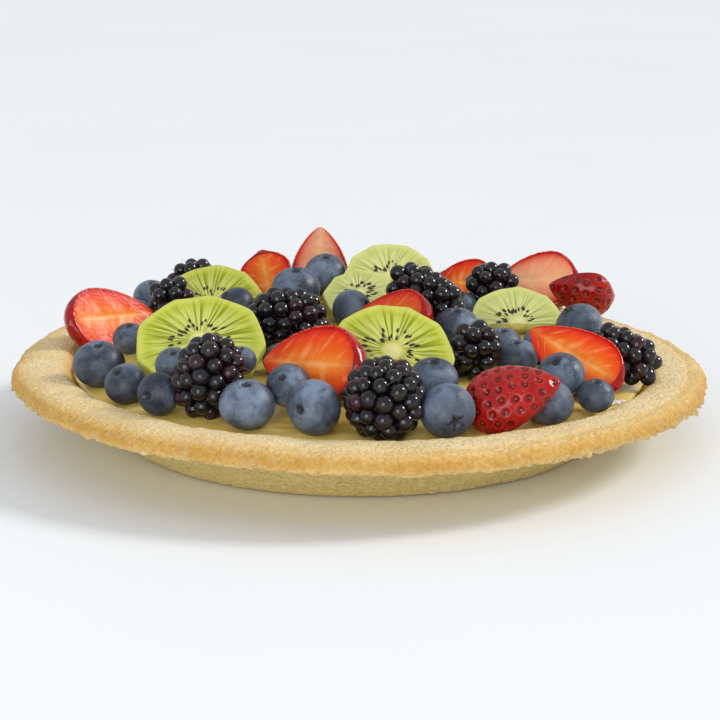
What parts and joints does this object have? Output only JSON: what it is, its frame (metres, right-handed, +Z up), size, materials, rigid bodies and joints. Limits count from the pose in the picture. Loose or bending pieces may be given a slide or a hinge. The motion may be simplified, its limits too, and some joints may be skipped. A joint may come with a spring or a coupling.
{
  "type": "fruit custard tart",
  "caption": "Round baked pastry tart with a wide flat rim and fluted sides, filled with custard and heaped with blueberries, brambles, kiwi slices and halved strawberries.",
  "frame": {"origin": "middle of the shell's flat base, on the surface that the tart stands on", "axes": "+Z up; -Y is the front, as the tart is usually seen; +X to the right from there"},
  "size_m": [0.24, 0.24, 0.0555],
  "materials": {
    "crust": "baked shortcrust pastry, pale gold, dry and slightly grainy",
    "custard": "set custard, soft yellow with a dull sheen",
    "blueberry": "blueberry skin, slate blue with a pale bloom",
    "bramble": "bramble drupelets, near black and very glossy",
    "kiwi": "kiwi flesh, yellow green and moist, with dark seeds and a pale core",
    "strawberry": "strawberry, glossy red pitted skin and an orange red cut face"
  },
  "bodies": {
    "root": {"crust": "crust", "custard": "custard", "blueberry_01": "blueberry", "blueberry_02": "blueberry", "blueberry_03": "blueberry", "blueberry_04": "blueberry", "blueberry_05": "blueberry", "blueberry_06": "blueberry", "blueberry_07": "blueberry", "blueberry_08": "blueberry", "blueberry_09": "blueberry", "blueberry_10": "blueberry", "blueberry_11": "blueberry", "blueberry_12": "blueberry", "blueberry_13": "blueberry", "blueberry_14": "blueberry", "blueberry_15": "blueberry", "blueberry_16": "blueberry", "blueberry_17": "blueberry", "blueberry_18": "blueberry", "blueberry_19": "blueberry", "blueberry_20": "blueberry", "blueberry_21": "blueberry", "blueberry_22": "blueberry", "blueberry_23": "blueberry", "blueberry_24": "blueberry", "blueberry_25": "blueberry", "blueberry_26": "blueberry", "blueberry_27": "blueberry", "blueberry_28": "blueberry", "blueberry_29": "blueberry", "blueberry_30": "blueberry", "blueberry_31": "blueberry", "blueberry_32": "blueberry", "blueberry_33": "blueberry", "bramble_01": "bramble", "bramble_02": "bramble", "bramble_03": "bramble", "bramble_04": "bramble", "bramble_05": "bramble", "bramble_06": "bramble", "bramble_07": "bramble", "bramble_08": "bramble", "bramble_09": "bramble", "kiwi_slice_01": "kiwi", "kiwi_slice_02": "kiwi", "kiwi_slice_03": "kiwi", "kiwi_slice_04": "kiwi", "kiwi_slice_05": "kiwi", "kiwi_slice_06": "kiwi", "strawberry_half_01": "strawberry", "strawberry_half_02": "strawberry", "strawberry_half_03": "strawberry", "strawberry_half_04": "strawberry", "strawberry_half_05": "strawberry", "strawberry_half_06": "strawberry", "strawberry_half_07": "strawberry", "strawberry_half_08": "strawberry", "strawberry_half_09": "strawberry", "strawberry_half_10": "strawberry"}
  },
  "joints": []
}
